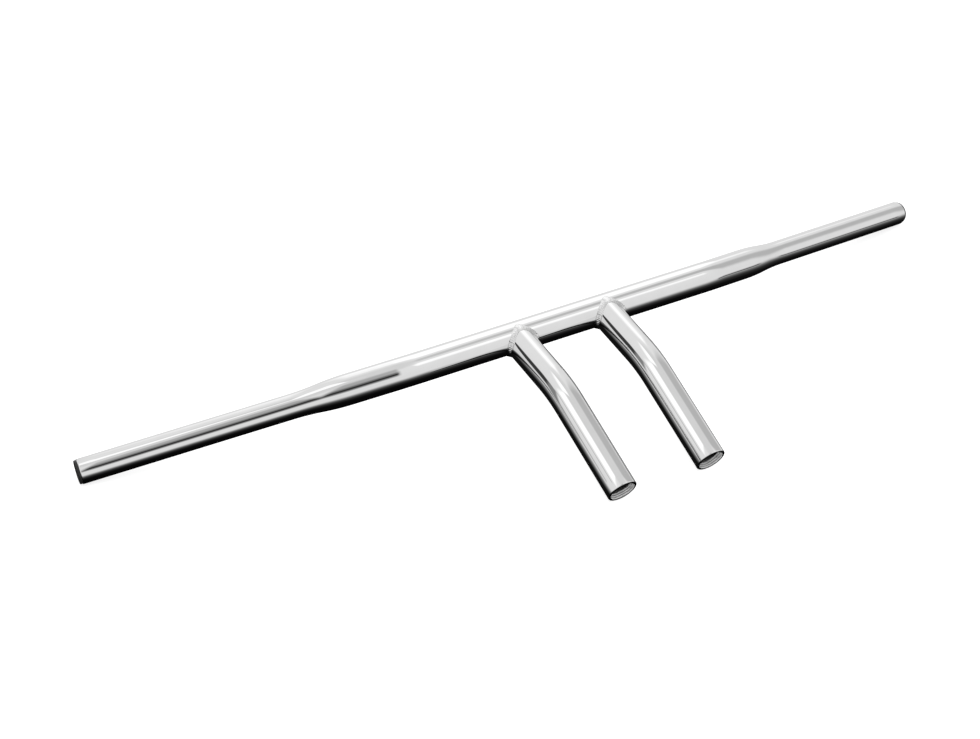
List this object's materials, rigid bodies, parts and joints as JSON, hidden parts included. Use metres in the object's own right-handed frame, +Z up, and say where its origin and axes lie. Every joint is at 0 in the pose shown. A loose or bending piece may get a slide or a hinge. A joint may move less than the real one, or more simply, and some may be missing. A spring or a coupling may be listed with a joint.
{
  "type": "motorcycle handlebar",
  "caption": "Chromed T-bar motorcycle handlebar: one swaged, swept crossbar welded on two bent riser tubes with threaded feet and plugged ends.",
  "frame": {"origin": "on the surface that the bar rests on when it is off the motorcycle, under the centre of its bounding box", "axes": "+X along the crossbar to the rider's left, +Y from the riser feet towards the crossbar, +Z up from the surface that it lies on; as mounted the bar is turned 68.38 degrees about +X from here, so that the riser feet point down"},
  "size_m": [1.0172, 0.2898, 0.0891],
  "materials": {
    "chrome_tube": "polished bright chrome plate",
    "chrome_weld": "chrome plate over a dressed weld bead",
    "bung_steel": "turned steel, unplated and darkened",
    "plug_rubber": "moulded black plastic"
  },
  "bodies": {
    "root": {"crossbar_tube": "chrome_tube", "left_riser_tube": "chrome_tube", "left_riser_weld": "chrome_weld", "left_threaded_bung": "bung_steel", "left_bung_weld": "bung_steel", "left_end_plug": "plug_rubber", "right_riser_tube": "chrome_tube", "right_riser_weld": "chrome_weld", "right_threaded_bung": "bung_steel", "right_bung_weld": "bung_steel", "right_end_plug": "plug_rubber"}
  },
  "joints": []
}
